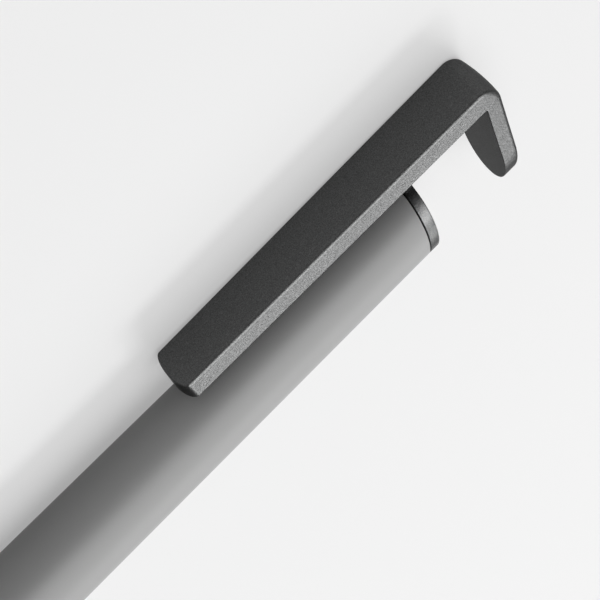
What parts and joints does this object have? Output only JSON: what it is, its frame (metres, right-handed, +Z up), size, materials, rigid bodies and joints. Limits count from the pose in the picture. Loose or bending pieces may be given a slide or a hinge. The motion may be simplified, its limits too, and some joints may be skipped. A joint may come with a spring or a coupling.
{
  "type": "ballpoint pen with phone stand",
  "caption": "Twist-action ballpoint pen; its flat clip runs on past the slanted barrel end and hooks over into a lip, leaving a slot that stands a phone.",
  "frame": {"origin": "under the middle of the pen, on the surface that it lies on", "axes": "+X along the barrel from the tip to the hooked end, +Z up as the pen lies on a table, on its barrel and a corner of the clip bar, with the bar's flat face towards +Y"},
  "size_m": [0.1452, 0.0162, 0.0113],
  "materials": {
    "satin_grey": "satin grey lacquer",
    "gun_metal": "dark gun-metal, fine metallic grain",
    "black_plastic": "moulded",
    "white_plastic": "moulded",
    "steel": "bright drawn",
    "brass": "turned",
    "rubber": "matte",
    "ink": "wet",
    "grease": "translucent grease"
  },
  "bodies": {
    "upper": {"upper_barrel": "satin_grey", "stand_clip": "gun_metal", "end_plug": "black_plastic", "clip_screw": "steel", "cam_sleeve": "white_plastic", "twist_bush": "white_plastic"},
    "lower": {"lower_barrel": "satin_grey", "nose_cone": "gun_metal", "center_ring": "gun_metal", "coupling_sleeve": "brass", "friction_ring": "rubber", "guide_sleeve": "white_plastic", "retaining_ring": "steel", "return_spring": "steel"},
    "refill": {"plunger": "black_plastic", "drive_pin": "steel", "refill_tube": "steel", "refill_plug": "black_plastic", "ink_column": "ink", "ink_follower": "grease", "refill_tip": "brass", "writing_ball": "steel"}
  },
  "joints": [
    {"name": "twist", "type": "hinge", "parent": "upper", "child": "lower", "pos_m": [-0.01449, -0.00249, 0.00563], "axis": [1, 0, 0], "range_deg": [0, 180]},
    {"name": "refill_slide", "type": "slide", "parent": "lower", "child": "refill", "axis": [-1, 0, 0], "range_m": [0, 0.005], "deforming": ["return_spring"]}
  ],
  "couplings": [
    {"joint": "refill_slide", "follows": "twist", "m_per_rad": 0.001591}
  ]
}
